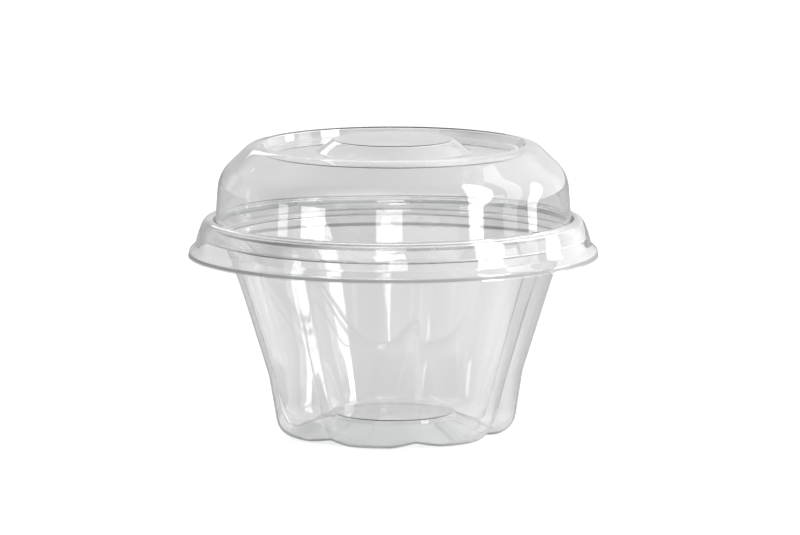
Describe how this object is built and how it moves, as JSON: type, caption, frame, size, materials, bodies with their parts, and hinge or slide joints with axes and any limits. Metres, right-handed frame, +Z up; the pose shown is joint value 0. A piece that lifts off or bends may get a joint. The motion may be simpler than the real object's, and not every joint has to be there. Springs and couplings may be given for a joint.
{
  "type": "clear plastic dessert cup with dome lid",
  "caption": "Clear thermoformed dessert cup with a lobed foot, flared wall and turned-down rim, closed by a dome lid that grips the rim and has a raised round button in its top.",
  "frame": {"origin": "centre of the foot, on the surface that the cup stands on", "axes": "+Z up along the axis of the cup and lid, +X through the crown of one lobe, right-handed"},
  "size_m": [0.1044, 0.1044, 0.0749],
  "materials": {
    "cup_sheet": "clear, glossy, thermoformed PET sheet",
    "lid_sheet": "clear, glossy, thermoformed PET sheet"
  },
  "bodies": {
    "cup": {"cup": "cup_sheet"},
    "lid": {"lid": "lid_sheet"}
  },
  "joints": [
    {"name": "lid_lift", "type": "slide", "parent": "cup", "child": "lid", "axis": [0, 0, 1], "range_m": [0, 0.08]}
  ]
}
